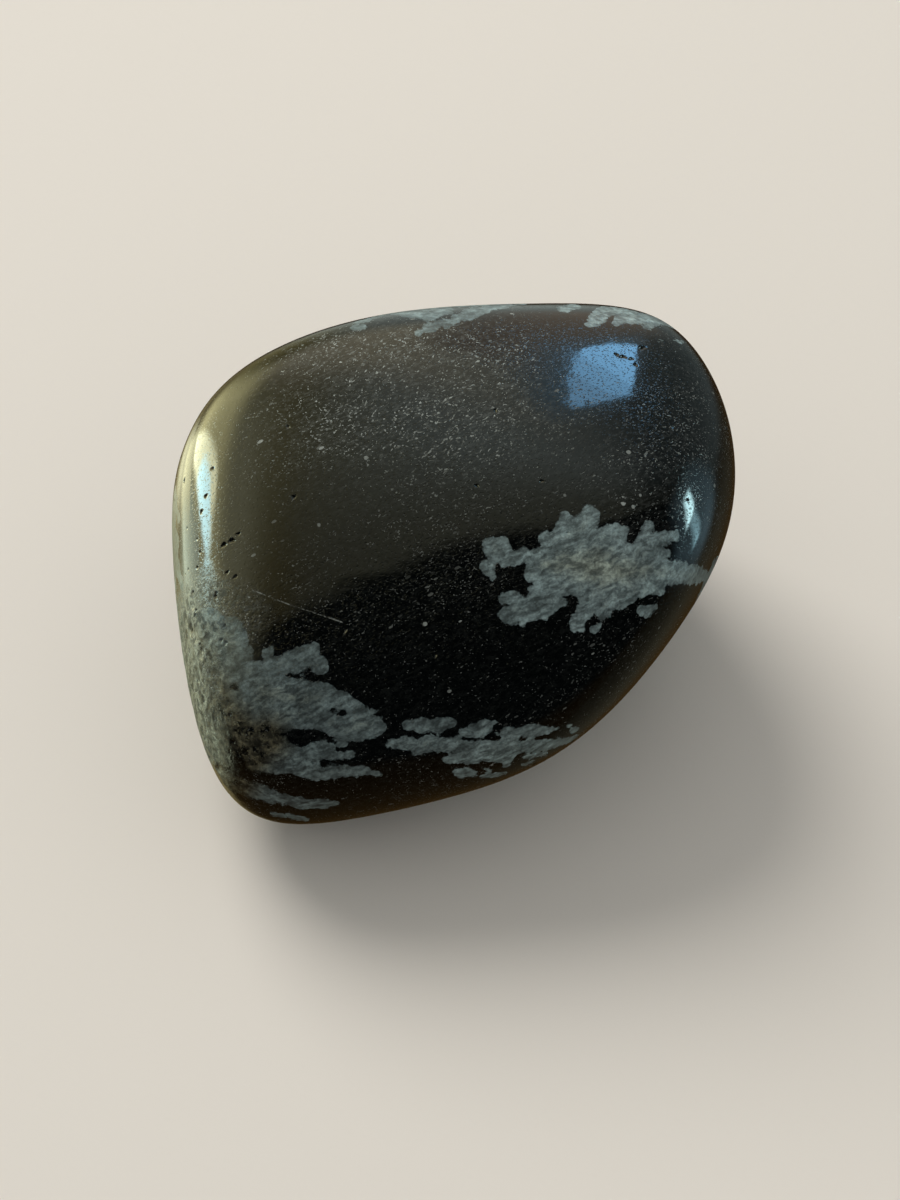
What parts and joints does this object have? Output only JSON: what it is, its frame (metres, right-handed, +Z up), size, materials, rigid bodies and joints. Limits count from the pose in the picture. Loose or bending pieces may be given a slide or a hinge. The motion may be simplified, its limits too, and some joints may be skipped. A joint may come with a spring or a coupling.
{
  "type": "tumbled stone",
  "caption": "Tumbled and polished snowflake obsidian: a rounded black glass pebble with grey flakes, free-standing on a small worn flat.",
  "frame": {"origin": "middle of the stone's box, in the plane of the worn flat that it rests on", "axes": "+Z up, square to the resting flat; +X along the stone's longest side; the broad face that shows best looks towards -Y and up"},
  "size_m": [0.028, 0.0258, 0.02],
  "materials": {
    "obsidian": "tumble polished"
  },
  "bodies": {
    "root": {"stone": "obsidian"}
  },
  "joints": []
}
